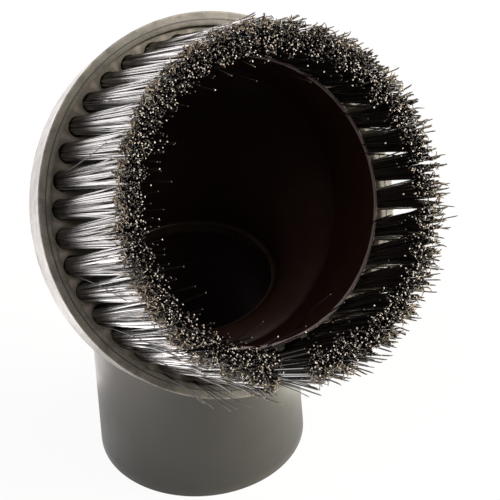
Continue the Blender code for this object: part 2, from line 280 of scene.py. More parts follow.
def put_mesh(name, points, faces, values=None):
    """A mesh from an array of points and blocks of faces with equally many corners.

    values gives float attributes, as name: (domain, numbers). The faces are turned outwards.
    """
    if signed_volume(points, faces) < 0:
        faces = [block[:, ::-1] for block in faces]
    corners = np.concatenate([block.ravel() for block in faces]).astype(np.int32)
    counts = np.concatenate([np.full(len(block), block.shape[1]) for block in faces])
    starts = np.concatenate([[0], np.cumsum(counts)[:-1]]).astype(np.int32)
    mesh = bpy.data.meshes.new(name)
    mesh.vertices.add(len(points))
    mesh.vertices.foreach_set("co", points.astype(np.float32).ravel())
    mesh.loops.add(len(corners))
    mesh.loops.foreach_set("vertex_index", corners)
    mesh.polygons.add(len(counts))
    mesh.polygons.foreach_set("loop_start", starts)
    for key, (domain, numbers) in (values or {}).items():
        attribute = mesh.attributes.new(key, "FLOAT", domain)
        attribute.data.foreach_set("value", np.asarray(numbers, np.float32).ravel())
    mesh.update(calc_edges=True)
    return mesh


def merge_doubles(mesh):
    """Joins the points that two patches share along their seam, less than 2 micrometres apart."""
    bm = bmesh.new()
    bm.from_mesh(mesh)
    bmesh.ops.remove_doubles(bm, verts=bm.verts, dist=0.002 * MM)
    bm.to_mesh(mesh)
    bm.free()


def put_object(name, data):
    """A new object of the scene that holds this data."""
    made = bpy.data.objects.new(name, data)
    bpy.context.scene.collection.objects.link(made)
    return made


def put_piece(name, mesh, materials, nodes, sharp_degrees=32.0):
    """Shades the mesh, links it as a piece under the root, and hides the parts of the frame that it takes
    the place of.
    """
    mesh.shade_smooth()
    mesh.set_sharp_from_angle(angle=math.radians(sharp_degrees))
    for material in materials:
        mesh.materials.append(material)
    piece = put_object(name, mesh)
    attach(piece, "root")
    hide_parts(*nodes)


# Shader nodes

def feed(tree, node, inputs):
    """Links a node's inputs to other nodes' outputs, or gives them plain values."""
    for key, value in inputs.items():
        if isinstance(value, bpy.types.NodeSocket):
            tree.links.new(value, node.inputs[key])
        else:
            node.inputs[key].default_value = value


def add_node(tree, kind, inputs=None, **settings):
    """A node with its settings and inputs."""
    made = tree.nodes.new(kind)
    for key, value in settings.items():
        setattr(made, key, value)
    feed(tree, made, inputs or {})
    return made


SOCKET_KINDS = {type(None): "NodeSocketVector", float: "NodeSocketFloat", tuple: "NodeSocketColor"}
BLACK = (0.0, 0.0, 0.0, 1.0)


def new_group(name, inputs, outputs):
    """A shader node group whose sockets have these first values, where None stands for a vector."""
    group = bpy.data.node_groups.new(name, "ShaderNodeTree")
    for in_out, sockets in (("INPUT", inputs), ("OUTPUT", outputs)):
        for key, value in sockets.items():
            socket = group.interface.new_socket(key, in_out=in_out, socket_type=SOCKET_KINDS[type(value)])
            if value is not None:
                socket.default_value = value
    source = group.nodes.new("NodeGroupInput").outputs
    return group, source, group.nodes.new("NodeGroupOutput")


def blend_colour(tree, factor, first, second, mode="MIX"):
    """A mix of two colours: the first where the factor is 0, the second where it is 1."""
    made = add_node(
        tree, "ShaderNodeMix", {0: factor, 6: first, 7: second}, data_type="RGBA", blend_type=mode)
    return made.outputs[2]


def calculate(tree, operation, *values, clamp=False):
    """One step of arithmetic."""
    made = add_node(tree, "ShaderNodeMath", dict(enumerate(values)), operation=operation, use_clamp=clamp)
    return made.outputs[0]


def spread_value(tree, value, low, high, to_low, to_high, kind="SMOOTHSTEP"):
    """The value's place between low and high, eased, as a place between the other two."""
    inputs = {"Value": value, "From Min": low, "From Max": high, "To Min": to_low, "To Max": to_high}
    return add_node(tree, "ShaderNodeMapRange", inputs, interpolation_type=kind).outputs["Result"]


def noise(tree, vector, scale, detail=3.0, roughness=0.55):
    """Soft noise from 0 to 1, scale cells to the metre."""
    inputs = {"Vector": vector, "Scale": scale, "Detail": detail, "Roughness": roughness}
    return add_node(tree, "ShaderNodeTexNoise", inputs).outputs[0]


def read_attribute(tree, name):
    """A number that the mesh itself carries."""
    return add_node(tree, "ShaderNodeAttribute", attribute_name=name).outputs["Fac"]


def grain_group():
    """Moulded grain: a fine pebble with soft patches, as a height and a roughness."""
    group, source, sink = new_group("Moulded Grain", {
        "Vector": None, "Grain Scale": 3000.0, "Patch Scale": 90.0,
        "Smooth Roughness": 0.35, "Coarse Roughness": 0.50,
    }, {"Height": 0.0, "Roughness": 0.0})
    fine = noise(group, source["Vector"], source["Grain Scale"], 2.0)
    patches = noise(group, source["Vector"], source["Patch Scale"], 4.0)
    mixed = calculate(group, "MULTIPLY_ADD", fine, 0.35, calculate(group, "MULTIPLY", patches, 0.65))
    rough = spread_value(
        group, mixed, 0.35, 0.65, source["Smooth Roughness"], source["Coarse Roughness"], "LINEAR")
    feed(group, sink, {"Height": fine, "Roughness": rough})
    return group


def wear_and_painted_light_group():
    """Edge wear and painted light: the second colour where the mask is high, broken up by noise."""
    group, source, sink = new_group("Edge Wear and Painted Light", {
        "Vector": None, "Colour": BLACK, "Worn and Painted Colour": BLACK, "Mask": 0.0, "Break-up Scale": 400.0,
    }, {"Colour": BLACK, "Wear and Painted Light": 0.0})
    broken = noise(group, source["Vector"], source["Break-up Scale"], 4.0, 0.65)
    wear_and_painted_light = calculate(group, "MULTIPLY", source["Mask"], spread_value(group, broken, 0.32, 0.62, 0.35, 1.0))
    mixed = blend_colour(group, wear_and_painted_light, source["Colour"], source["Worn and Painted Colour"])
    feed(group, sink, {"Colour": mixed, "Wear and Painted Light": wear_and_painted_light})
    return group


def dust_group():
    """Settled dust: specks and a thin veil, thickest on what faces up."""
    group, source, sink = new_group("Settled Dust", {
        "Vector": None, "Colour": BLACK, "Dust Colour": (0.4, 0.36, 0.3, 1.0),
        "Veil": 0.05, "Specks": 0.3, "Speck Scale": 1400.0,
    }, {"Colour": BLACK, "Mask": 0.0})
    normal = add_node(group, "ShaderNodeNewGeometry").outputs["Normal"]
    up = add_node(group, "ShaderNodeSeparateXYZ", {"Vector": normal}).outputs["Z"]
    facing = spread_value(group, up, -0.1, 0.9, 0.25, 1.0)
    cells = add_node(group, "ShaderNodeTexVoronoi", {
        "Vector": source["Vector"], "Scale": source["Speck Scale"], "Randomness": 1.0}).outputs["Distance"]
    specks = calculate(group, "MULTIPLY", spread_value(group, cells, 0.10, 0.20, 1.0, 0.0), source["Specks"])
    patches = noise(group, source["Vector"], 120.0, 4.0, 0.6)
    veil = calculate(group, "MULTIPLY", spread_value(group, patches, 0.35, 0.7, 0.2, 1.0), source["Veil"])
    mask = calculate(group, "MULTIPLY", calculate(group, "ADD", specks, veil, clamp=True), facing)
    mixed = blend_colour(group, mask, source["Colour"], source["Dust Colour"])
    feed(group, sink, {"Colour": mixed, "Mask": mask})
    return group


GROUPS = {"Moulded Grain": grain_group, "Edge Wear and Painted Light": wear_and_painted_light_group, "Settled Dust": dust_group}


def use_group(tree, name, inputs):
    """A node of one of the shared groups, which is built when it is first used."""
    group = bpy.data.node_groups.get(name) or GROUPS[name]()
    return add_node(tree, "ShaderNodeGroup", inputs, node_tree=group).outputs


def new_material(name):
    """A material, with its tree, its shader and the place on the piece."""
    material = bpy.data.materials.new(name)
    material.use_nodes = True
    tree = material.node_tree
    place = tree.nodes.new("ShaderNodeTexCoord").outputs["Object"]
    return material, tree, tree.nodes["Principled BSDF"], place


def opaque(rgb, scale=1.0):
    """A colour for a socket, its parts times a scale."""
    return (*[value * scale for value in rgb], 1.0)


FINISHES = {
    # name: (roughness where smooth and where coarse, specular level, strength of the grain, dust)
    "Housing plastic": (0.36, 0.48, 0.42, 0.25, 0.5),
    "Housing plastic inside, painted shade and light": (0.38, 0.50, 0.20, 0.35, 0.1),
    "Ring plastic": (0.42, 0.56, 0.4, 0.35, 0.8),
    "Ring plastic inside, painted shade": (0.6, 0.7, 0.05, 0.35, 0.1),
    "Collar lip plastic": (0.42, 0.56, 0.4, 0.35, 0.6),
}


def plastic_material(name, base, worn_and_painted_light, grain):
    """A moulded plastic with grain, a second colour where the mesh's mask is high, for rubbed edges and for
    painted light, and a little dust.
    """
    smooth, coarse, specular, bump, dust = FINISHES[name]
    material, tree, shader, place = new_material(name)
    patches = spread_value(tree, noise(tree, place, 45.0), 0.3, 0.7, 0.0, 0.35)
    deeper = blend_colour(tree, patches, opaque(base), opaque(base, 0.72))
    # The mask mixes in the second colour: rubbed edges, and painted light on some rows.
    wear_and_painted_light = use_group(tree, "Edge Wear and Painted Light", {
        "Vector": place, "Colour": deeper, "Worn and Painted Colour": opaque(worn_and_painted_light),
        "Mask": read_attribute(tree, "wear_and_painted_light")})
    dusty = use_group(tree, "Settled Dust", {
        "Vector": place, "Colour": wear_and_painted_light["Colour"], "Veil": 0.10 * dust, "Specks": 0.45 * dust})
    grained = use_group(tree, "Moulded Grain", {
        "Vector": place, "Grain Scale": 1.0 / grain, "Smooth Roughness": smooth, "Coarse Roughness": coarse})
    polished = calculate(tree, "MULTIPLY_ADD", wear_and_painted_light["Wear and Painted Light"], -0.35, grained["Roughness"], clamp=True)
    rough = calculate(tree, "MULTIPLY_ADD", dusty["Mask"], 0.25, polished, clamp=True)
    raised = add_node(tree, "ShaderNodeBump", {
        "Height": grained["Height"], "Strength": bump, "Distance": 0.03 * MM})
    feed(tree, shader, {
        "Base Color": dusty["Colour"], "Roughness": rough, "Normal": raised.outputs["Normal"],
        "Specular IOR Level": specular})
    return material


def nylon_material(tufts):
    """Glossy black filament that dulls towards its end, with a frayed stretch and a pale cut face, each
    partly a painted highlight.

    An index of refraction above nylon's own gives the silver sheen of filaments that lie close.
    """
    material, tree, shader, place = new_material("Bristle nylon")
    names = ("pale_end_and_painted_glint", "strand", "dull", "frayed_and_painted_highlight")
    pale_end_and_painted_glint, strand, dull, frayed_and_painted_highlight = [read_attribute(tree, name) for name in names]
    tone = blend_colour(tree, strand, opaque(tufts.nylon), opaque(tufts.nylon, 2.0))
    frayed_and_highlit_tone = blend_colour(tree, frayed_and_painted_highlight, tone, opaque(tufts.frayed_and_painted_highlight))
    body = blend_colour(tree, pale_end_and_painted_glint, frayed_and_highlit_tone, opaque(tufts.cut))
    dusty = use_group(tree, "Settled Dust", {
        "Vector": place, "Colour": body, "Veil": 0.0, "Specks": 0.10, "Speck Scale": 900.0})
    rough = calculate(tree, "MULTIPLY_ADD", dull, 0.30, spread_value(tree, strand, 0.0, 1.0, 0.20, 0.32))
    feed(tree, shader, {
        "Base Color": dusty["Colour"], "Roughness": rough, "IOR": 2.05,
        "Specular IOR Level": spread_value(tree, dull, 0.0, 1.0, 1.0, 0.15),
        "Coat Weight": spread_value(tree, dull, 0.0, 1.0, 1.0, 0.0), "Coat IOR": 2.05,
        "Coat Roughness": 0.28})
    return material


# Housing

def level_rows(radius_height, turn):
    """Rows of circles round the neck's axis, from (radius, z) pairs."""
    radius, z = np.asarray(radius_height, float).T[:, :, None]
    return stacked(radius * np.sin(turn), NECK_Y + radius * np.cos(turn), z)


def bend_rows(head, height, head_radius, throat, neck_radius, turn, stations):
    """Sections from the head at this height round to the level top of the neck, and that top's z.

    Each is an ellipse in a plane through the bend's hinge line, whose lean falls evenly from the
    head's to none. Reach and width change along the bend by 3s^2 - 2s^3, so the wall leaves both
    ends square.
    """
    _, hinge_y, hinge_z = head_point(head, 0.0, -(head_radius + throat), height)
    neck_near = NECK_Y - hinge_y - neck_radius
    station = np.asarray(stations, float)[:, None]
    eased = station * station * (3 - 2 * station)
    near = throat + (neck_near - throat) * eased
    width = head_radius + (neck_radius - head_radius) * eased
    far = (throat + 2 * head_radius) * (1 - eased) + (neck_near + 2 * neck_radius) * eased
    lean = head.bend * (1 - station)
    reach = (near + far) / 2 + (far - near) / 2 * np.cos(turn)
    y, z = hinge_y + reach * np.cos(lean), hinge_z + reach * np.sin(lean)
    return stacked(width * np.sin(turn), y, z), hinge_z


def fillet_rows(head, rows, back, fillet):
    """Swells the hood out to meet the rim's back in a round corner.

    A point at depth d under the back moves out from its section's middle by
    f - sqrt(f^2 - (f - d)^2), where f is the fillet.
    """
    depth = np.clip(back - head_height(head, rows), 0.0, fillet)
    swell = fillet - np.sqrt(np.maximum(fillet**2 - (fillet - depth) ** 2, 0.0))
    return rows + unit(rows - rows.mean(axis=1, keepdims=True)) * swell[..., None]


def rim_profile(head, housing, seat, back):
    """The channel and the rim as (radius, height): floor, wall, lip, front, side, rear and back.

    The lip has an inner band, a fine groove and an outer band that ends at the front's round.
    """
    radius, inner, edge, heel = head.radius, housing.channel_radius, housing.edge_round, housing.back_round
    step, slope = inner + housing.band, math.tan(housing.draft)
    heel_middle = radius + (back + heel) * slope - heel
    floor = np.linspace((head.bore, seat), (inner - 0.3 * MM, seat), 6)
    wall = corner((inner - 0.3 * MM, seat + 0.3 * MM), 0.3 * MM, -90, 0, 3)
    wall = np.concatenate([wall, np.linspace((inner, seat + 1.2 * MM), (inner, -0.25 * MM), 6)])
    band = np.array([(0.05, -0.13), (0.14, -0.07), (0.3, -0.05)]) * MM
    groove = np.array([
        (-0.3, -0.03), (-0.06, -0.03), (-0.04, -0.13), (0.05, -0.13), (0.08, 0.0), (0.3, 0.0)]) * MM
    lip = np.concatenate([(inner, 0) + band, (step, 0) + groove, [(radius - edge - 0.25 * MM, 0.0)]])
    front = corner((radius - edge, -edge), edge, 90, 0, 5)
    down = np.linspace(-1.0 * MM, back + heel * 1.3, 7)
    side = stacked(radius + down * slope, down)
    rear = corner((heel_middle, back + heel), heel, 0, -90, 6)
    hood_side = head.bore + housing.hood_wall + housing.fillet
    behind = np.linspace((heel_middle - 0.3 * MM, back), (hood_side + 0.2 * MM, back), 4)
    return floor, wall, lip, front, side, rear, behind


def socket_profile(housing, stop_top):
    """The socket as (radius, z): its lead-in, the grip's wall and step, the duct and the wand's stop."""
    wide, lead_in, grip, bevel = housing.socket, housing.lead_in, housing.grip_length, 0.12 * MM
    duct, stop = wide - housing.grip_step, wide - housing.stop_step
    stop_bottom = stop_top - housing.stop_height
    return np.concatenate([
        [(wide + 0.1 * MM, lead_in - 0.1 * MM), (wide, lead_in + 0.1 * MM)],
        np.linspace((wide, 2 * MM), (wide, grip - bevel), 10),
        [(duct, grip + housing.grip_step)],
        np.linspace((duct, grip + 1.2 * MM), (duct, stop_bottom - bevel), 4),
        [(duct - bevel, stop_bottom), (stop + bevel, stop_bottom), (stop, stop_bottom + bevel)],
        [(stop, stop_bottom + 0.7 * MM), (stop, stop_top - bevel), (stop + bevel, stop_top)],
    ])


def housing_rows(head, housing, turn):
    """The whole moulding as one closed loop of rows, with each row's wear and painted light, and how deep
    inside it is, where the colour is painted shade.

    The loop runs over the channel's floor and wall, the lip, the rim's side and back, the hood
    and the neck outside, and back up through the socket and the hood's chamber.
    """
    seat = -head.ring_recess - head.ring_thickness - head.gap
    back = seat - housing.floor
    wide, edge = housing.socket, housing.edge_round
    neck_radius = wide + housing.neck_wall
    floor, wall, _, front, side, rear, behind = rim = rim_profile(head, housing, seat, back)

    # Stations of the hood's sections, close together over the fillet
    fine = [0, 0.0012, 0.0026, 0.0045, 0.007, 0.010, 0.015, 0.022]
    hood, hood_end = bend_rows(
        head, back, head.bore + housing.hood_wall, housing.throat_outside, neck_radius, turn,
        np.concatenate([fine, np.linspace(0.035, 1, 36)]))
    hood = fillet_rows(head, hood, back, housing.fillet)
    outside = level_rows(np.linspace((neck_radius, hood_end - 1.5 * MM), (neck_radius, 2 * MM), 14), turn)
    end = level_rows(np.concatenate([
        corner((neck_radius - edge, edge), edge, 0, -90, 4),
        [(wide + housing.lead_in + 0.1 * MM, 0.0), (wide + housing.lead_in, 0.02 * MM)],
    ]), turn)
    chamber, stop_top = bend_rows(
        head, seat, head.bore, housing.throat_inside, wide - housing.grip_step, turn, np.linspace(1, 0, 40))
    socket = level_rows(socket_profile(housing, stop_top), turn)
    rows = np.concatenate([revolve(head, np.concatenate(rim), turn), hood, outside, end, socket, chamber])

    # Rows, with their wear and their painted light
    runs = [
        # the channel, and its wall's upper end, painted pale as painted light where the recess lies in shade
        (len(floor) + len(wall) - 3, 0.0), (4, 1.0),
        # the lip's inner band, its groove and its outer band
        (3, 0.34), (3, 0.0), (3, 0.45),
        # the front round, the side with its heel, whose pale wear is partly a painted reflection, then the
        # hood and the neck
        (len(front), 0.8), (len(side) + len(rear), 0.22), (len(behind) + len(hood) + len(outside), 0.0),
        # the neck's end, the socket, and the wand's stop painted pale as a painted highlight
        (5, 0.1), (len(end) - 5 + len(socket) - 3, 0.0), (3, 0.6),
    ]
    # The hood's chamber grows paler towards its mouth: painted light.
    worn_and_painted_light = [np.full(count, value) for count, value in runs] + [np.linspace(0.04, 0.13, len(chamber))]
    depth = np.ones(len(rows))
    depth[len(floor):-len(socket) - len(chamber)] = 0.0
    return rows, np.concatenate(worn_and_painted_light), depth


def build_housing(scene):
    """The moulding as a grid of rows and columns that closes both ways, with painted shade inside."""
    head, housing = scene.brush_head, scene.brush_housing
    columns = 288
    turn = np.linspace(0, 2 * math.pi, columns, endpoint=False)
    rows, worn_and_painted_light, depth = housing_rows(head, housing, turn)
    faces = grid_faces(len(rows), columns, close_rows=True)
    mesh = put_mesh("brush_housing", rows.reshape(-1, 3), [faces], {
        "wear_and_painted_light": ("POINT", np.repeat(worn_and_painted_light, columns))})
    outer = plastic_material("Housing plastic", housing.plastic, housing.worn_and_painted_light, housing.grain)
    # The inner material's base colour is painted shade, and its second colour painted light.
    inner = plastic_material("Housing plastic inside, painted shade and light", housing.inside, housing.painted_light_inside, housing.grain)
    put_piece("brush_housing", mesh, [outer, inner], ["elbow_housing"])
    # Faces next to a row deep inside take the material with painted shade.
    inside = np.repeat(np.maximum(depth, np.roll(depth, -1)) > 0.5, columns).astype(np.int32)
    mesh.polygons.foreach_set("material_index", inside)


# Bristle ring

# Radius of the ring's edges and of the collar's lip, as a share of the collar's wall
LIP_ROUND = 0.3


def ring_profile(head, ring):
    """Half outline from the face's outer edge down, under the ring, up the bore and over the collar."""
    face, back = -head.ring_recess, -head.ring_recess - head.ring_thickness
    radius, bore = head.ring_radius, head.bore
    lip, outside = ring.collar_wall * LIP_ROUND, head.bore + ring.collar_wall
    middle, rise, half = face - ring.bead_depth, ring.bead_rise, ring.bead_length / 2
    foot = outside + ring.collar_draft
    return np.concatenate([
        [(radius - lip, face), (radius - 0.3 * lip, face - 0.3 * lip), (radius, face - lip)],
        [(radius, middle + half), (radius + rise, middle + half - rise)],
        [(radius + rise, middle - half + rise), (radius, middle - half)],
        [(radius, back + lip), (radius - lip, back), (bore + lip, back), (bore, back + lip)],
        np.linspace((bore, back + 1.5 * MM), (bore, ring.collar_rise - lip), 10),
        corner((bore + lip, ring.collar_rise - lip), lip, 180, 90, 4)[1:],
        corner((outside - lip, ring.collar_rise - lip), lip, 90, 0, 4),
        np.linspace((outside, ring.collar_rise - 1 * MM), (foot, face + 0.35 * MM), 8),
        [(foot + 0.03 * MM, face + 0.15 * MM), (foot + 0.12 * MM, face + 0.04 * MM)],
        [(foot + 0.3 * MM, face)],
    ])


def sector_outline(inner, outer, half_angle, steps):
    """Points round one hole's share of the face, as radius and angle, starting at its inner corner."""
    run, low, high = np.arange(steps) / steps, np.zeros(steps), np.ones(steps)
    across = np.concatenate([run, high, 1 - run, low])
    outward = np.concatenate([low, run, high, 1 - run])
    return inner + (outer - inner) * outward, half_angle * (2 * across - 1)


def hole_patch(head, ring, inner, outer, steps):
    """One hole with its share of the face, in the tuft's own x, y and height.

    The points run from the sector's outline in to the hole's round edge, down its wall and over
    its floor. Each row's points keep the direction of the outline's points from the hole's middle.
    """
    face = -head.ring_recess
    radius, turn = sector_outline(inner, outer, math.pi / head.tufts, steps)
    border = stacked(radius * np.cos(turn), radius * np.sin(turn))
    middle = np.array([head.tuft_circle, 0.0])
    away = unit(border - middle)
    mouth, bottom = middle + away * (ring.hole + ring.hole_edge), face - ring.hole_depth
    levels = [(border + (mouth - border) * part, face) for part in (0, 0.35, 0.7, 1)]
    levels += [(middle + away * ring.hole, face - ring.hole_edge * drop) for drop in (1, 4, 12, 24)]
    levels += [(middle + away * ring.hole * size, bottom) for size in (1.0, 0.6, 0.25)]
    rows = [np.column_stack([flat, np.full(len(border), height)]) for flat, height in levels]
    return np.array(rows), np.array([*middle, bottom])


def ring_surface(head, ring, profile, steps):
    """Points, quads and triangles of the ring, and how many rows of points a hole's patch has.

    They are the turned outline, a patch with a hole for each tuft, and a fan over each hole's floor.
    """
    columns = steps * head.tufts
    around = head.first_tuft - math.pi / head.tufts + np.arange(columns) * 2 * math.pi / columns
    turned = revolve(head, profile, math.pi / 2 - around).reshape(-1, 3)
    patch, floor_middle = hole_patch(head, ring, profile[-1, 0], profile[0, 0], steps)
    rows, count = patch.shape[:2]
    patch = np.concatenate([patch.reshape(-1, 3), floor_middle[None]])
    places = tuft_place(head, np.arange(head.tufts))[:, None]
    points = np.concatenate([turned, turned_into_place(head, patch, places).reshape(-1, 3)])
    first = len(turned) + np.arange(head.tufts)[:, None] * len(patch)
    holes = (grid_faces(rows, count)[:, ::-1] + first[..., None]).reshape(-1, 4)
    last_row, pole = first + (rows - 1) * count + np.arange(count), first + rows * count
    fans = stacked(np.roll(last_row, -1, axis=1), last_row, pole).reshape(-1, 3)
    return points, np.concatenate([grid_faces(len(profile), columns), holes]), fans, rows


def ring_wear_and_painted_light(head, ring, profile, points, steps, rows):
    """How worn each point is, and where it is painted: a hair of the lip's top as wear, and the lands
    between the holes towards the rim, pale partly as lint and partly as painted glints.
    """
    land_start, land_run, lip_start, lip_run = 31 * MM, 2 * MM, ring.collar_rise - 0.5 * MM, 0.4 * MM
    worn_and_painted_light = np.clip((head_height(head, points) - lip_start) / lip_run, 0, 1) * 0.05
    radius, turn = sector_outline(profile[-1, 0], profile[0, 0], 1.0, steps)
    # The pale lands: partly lint, partly painted glints.
    land = (np.abs(turn) > 0.9) * np.clip((radius - land_start) / land_run, 0, 1)
    land = np.concatenate([land, land * 0.6, np.zeros((rows - 2) * len(land) + 1)])
    worn_and_painted_light[-len(land) * head.tufts:] += np.tile(land, head.tufts)
    return worn_and_painted_light


def build_ring(scene):
    """The ring, with painted shade on its bore and its back, and a finish of its own for the collar's lip.
    """
    head, ring = scene.brush_head, scene.brush_ring
    steps, profile = 8, ring_profile(head, ring)
    points, quads, fans, rows = ring_surface(head, ring, profile, steps)
    mesh = put_mesh("brush_ring", points, [quads, fans], {
        "wear_and_painted_light": ("POINT", ring_wear_and_painted_light(head, ring, profile, points, steps, rows))})
    # Rows under the ring and in the collar's bore take the painted shade.
    radius, height = profile.T
    under = height < -head.ring_recess - head.ring_thickness + 0.1 * MM
    dark = under | (radius < head.bore + 0.05 * MM)
    bore_rows = (dark[:-1] & dark[1:]) | under[:-1] | under[1:]
    on_lip = height > ring.collar_rise - 1.2 * ring.collar_wall * LIP_ROUND
    finish = np.repeat(np.where(on_lip[:-1] & on_lip[1:], 2, bore_rows), steps * head.tufts)
    patches = np.zeros(len(mesh.polygons) - len(finish))
    mesh.polygons.foreach_set("material_index", np.concatenate([finish, patches]).astype(np.int32))
    merge_doubles(mesh)
    outer = plastic_material("Ring plastic", ring.plastic, ring.worn_and_painted_light, ring.grain)
    inner = plastic_material("Ring plastic inside, painted shade", ring.inside, ring.inside, ring.grain)
    lip = plastic_material("Collar lip plastic", ring.lip, ring.lip, ring.grain)
    put_piece("brush_ring", mesh, [outer, inner, lip], ["bristle_ring"])


# Tufts

def root_places(count, radius, chance):
    """A bundle's filaments in its hole: a sunflower spiral with a little scatter, as x and y."""
    index = np.arange(count) + 0.5
    out = radius * np.sqrt(index / count)
    turn = index * math.pi * (3 - math.sqrt(5)) + chance.uniform(0, 2 * math.pi)
    return stacked(out * np.cos(turn), out * np.sin(turn)) + chance.normal(0, 0.04 * MM, (count, 2))


def tip_limits(tufts, place):
    """The innermost and outermost tips' radii at this place round the head.

    The inner one is a mean less a cosine round the left side and one round the top, the outer one
    a mean with a cosine round the bottom and one that comes round twice.
    """
    left, top, bottom = math.radians(154), math.radians(64), math.radians(277)
    inner = tufts.inner - tufts.inner_left * math.cos(place - left) - tufts.inner_up * math.cos(place - top)
    outer = tufts.outer + tufts.outer_down * math.cos(place - bottom)
    return inner, outer - tufts.outer_tall * math.cos(2 * (place - left))


# Single filaments that stand well out of their tufts
STRAYS = (
    # tuft's index from 0, sideways swing in degrees, tip's radius and height in mm
    (22, 4.0, 42.0, 20.0), (22, 2.5, 41.2, 17.5), (23, 1.0, 41.3, 20.0), (23, -1.5, 42.0, 21.0),
    (23, 5.0, 40.7, 20.0), (24, 3.0, 40.2, 22.0), (19, 9.0, 37.5, 24.0), (17, 12.0, 36.5, 25.0),
    (20, 11.0, 38.5, 23.0), (14, -9.0, 36.0, 26.0), (11, 8.0, 36.2, 26.0), (32, 3.5, 40.2, 26.0),
    (33, -4.0, 39.8, 25.0), (31, 2.0, 39.6, 22.0), (29, -3.0, 40.0, 22.0), (27, 4.0, 40.4, 21.0),
)
# Tufts whose tips are pushed aside, so that they part: index from 0, and degrees of swing
LEANS = {23: -1.0, 24: -4.5, 25: 3.0, 26: 2.0}


def pointed(radius, swing, strength, chance):
    """Draws tips towards the nearest of a few points, as worn bristle ends cling together."""
    points = 6
    goal_swing = np.linspace(swing.min(), swing.max(), points) + chance.normal(0, math.radians(0.4), points)
    nearest = np.abs(swing[:, None] - goal_swing).argmin(axis=1)
    goal_radius = radius.max() + chance.uniform(-1.6 * MM, 0.0, points)
    swing = swing + (goal_swing[nearest] - swing) * strength
    ahead = np.clip(goal_radius[nearest] - radius, -1.5 * MM, 0.8 * MM)
    return radius + ahead * strength * 0.6, swing


# How flat the bundle is on its inner and its outer side, and how far out it stands in its hole
FLAT_IN, FLAT_OUT, ROOT_SHIFT = 0.30, 0.75, 0.45 * MM
# Shares of its height at which a filament has its points, before the four of its curl
STATIONS = np.array([0.0, 0.16, 0.32, 0.50, 0.68, 0.84, 0.955])
CURL_STEPS = 4
# Scatter of the tips' radius, the share of tips that trail, and how far on average
SCATTER, TRAILING, TRAIL = 0.35 * MM, 0.12, 1.6 * MM
# Where round the head the tufts are most ruffled, and where most filaments are loose
RUFFLED_AT, LOOSE_AT = math.radians(238), math.radians(-75)
# How dull each stretch of a filament gets, how frayed the last five, partly as a painted highlight, and how
# many ends are cut bright, partly as painted glints
DULLING = np.array([0, 0, 0, 0, 0, 0.25, 0.9, 1, 1, 1])
FRAYING_AND_PAINTED_HIGHLIGHT = np.array([0.3, 0.6, 0.8, 1.0, 1.0])
BRIGHT_ENDS_AND_GLINTS = 0.26


def tip_places(head, tufts, index, outward, aside, chance):
    """Where one tuft's filaments end, and how they lean, from the places of their roots.

    Roots further out end further out, and some tips trail behind. Sideways they fill the tuft's
    sector, drawn into four bundles. Loose ones stand out, hang lower and swing aside. Last, the
    outer ones are drawn into points. Returns each tip's x, y and height, how late it leans out and
    how early aside, which are loose, how matt they are and how thin.
    """
    count, place = len(outward), tuft_place(head, index)
    inner, outer = tip_limits(tufts, place)
    inset = ((1 - outward) / 2).clip(0, 1) ** 1.25
    radius = outer - (outer - inner) * inset + chance.normal(0, SCATTER, count)
    tail = chance.random(count) < TRAILING
    radius = radius - tail * chance.exponential(TRAIL, count)

    bundles = chance.uniform(-0.15, 0.15, 4) + np.array([-0.75, -0.25, 0.25, 0.75])
    nearest = bundles[np.abs(aside[:, None] - bundles).argmin(axis=1)]
    drawn = aside + (nearest - aside) * tufts.clumping
    half_sector = math.pi / head.tufts * tufts.spread
    ruffled = 0.28 + 1.1 * max(0.0, math.cos(place - RUFFLED_AT)) ** 4
    swing = drawn * half_sector + chance.normal(0, math.radians(ruffled), count)
    swing = swing + math.radians(chance.normal(0, 0.25))
    height = tufts.height + chance.normal(0, tufts.uneven, count)

    fringe = math.cos(place - LOOSE_AT)
    loose = chance.random(count) < tufts.loose * (1 + 0.6 * fringe) * np.clip(outward, 0.08, 1.0)
    radius = radius + loose * chance.uniform(0.0, (2.5 + 1.1 * fringe) * MM, count)
    height = height - loose * chance.uniform(0.0, 2.2 * MM, count)
    swing = swing + loose * chance.normal(0, math.radians(1.6), count)
    radius, swing = pointed(radius, swing, np.clip(outward * 1.2, 0.0, 0.50 + 0.15 * fringe), chance)
    swing = swing * (1 - 0.3 * (index in LEANS)) + math.radians(LEANS.get(index, 0.0))
    late = np.where(loose, 0.55, tufts.late)
    early = np.where(loose, 0.25, np.clip((1 + outward) / 1.7, 0, 1))
    matt = np.maximum(np.where(loose, 0.6, 0.95 * tail), np.clip(-1.5 * outward, 0.0, 0.85))
    thin = np.ones(count)

    outermost = iter(np.argsort(-outward))
    for number, turn, out, high in STRAYS:
        if number == index:
            one = next(outermost)
            radius[one], swing[one], height[one] = out * MM, math.radians(turn), high * MM
            loose[one], late[one], early[one], matt[one], thin[one] = True, 0.1, 0.6, 0.9, 0.75
    tip = stacked(radius * np.cos(swing) - head.tuft_circle, radius * np.sin(swing))
    return tip, height, late, early, loose, matt, thin


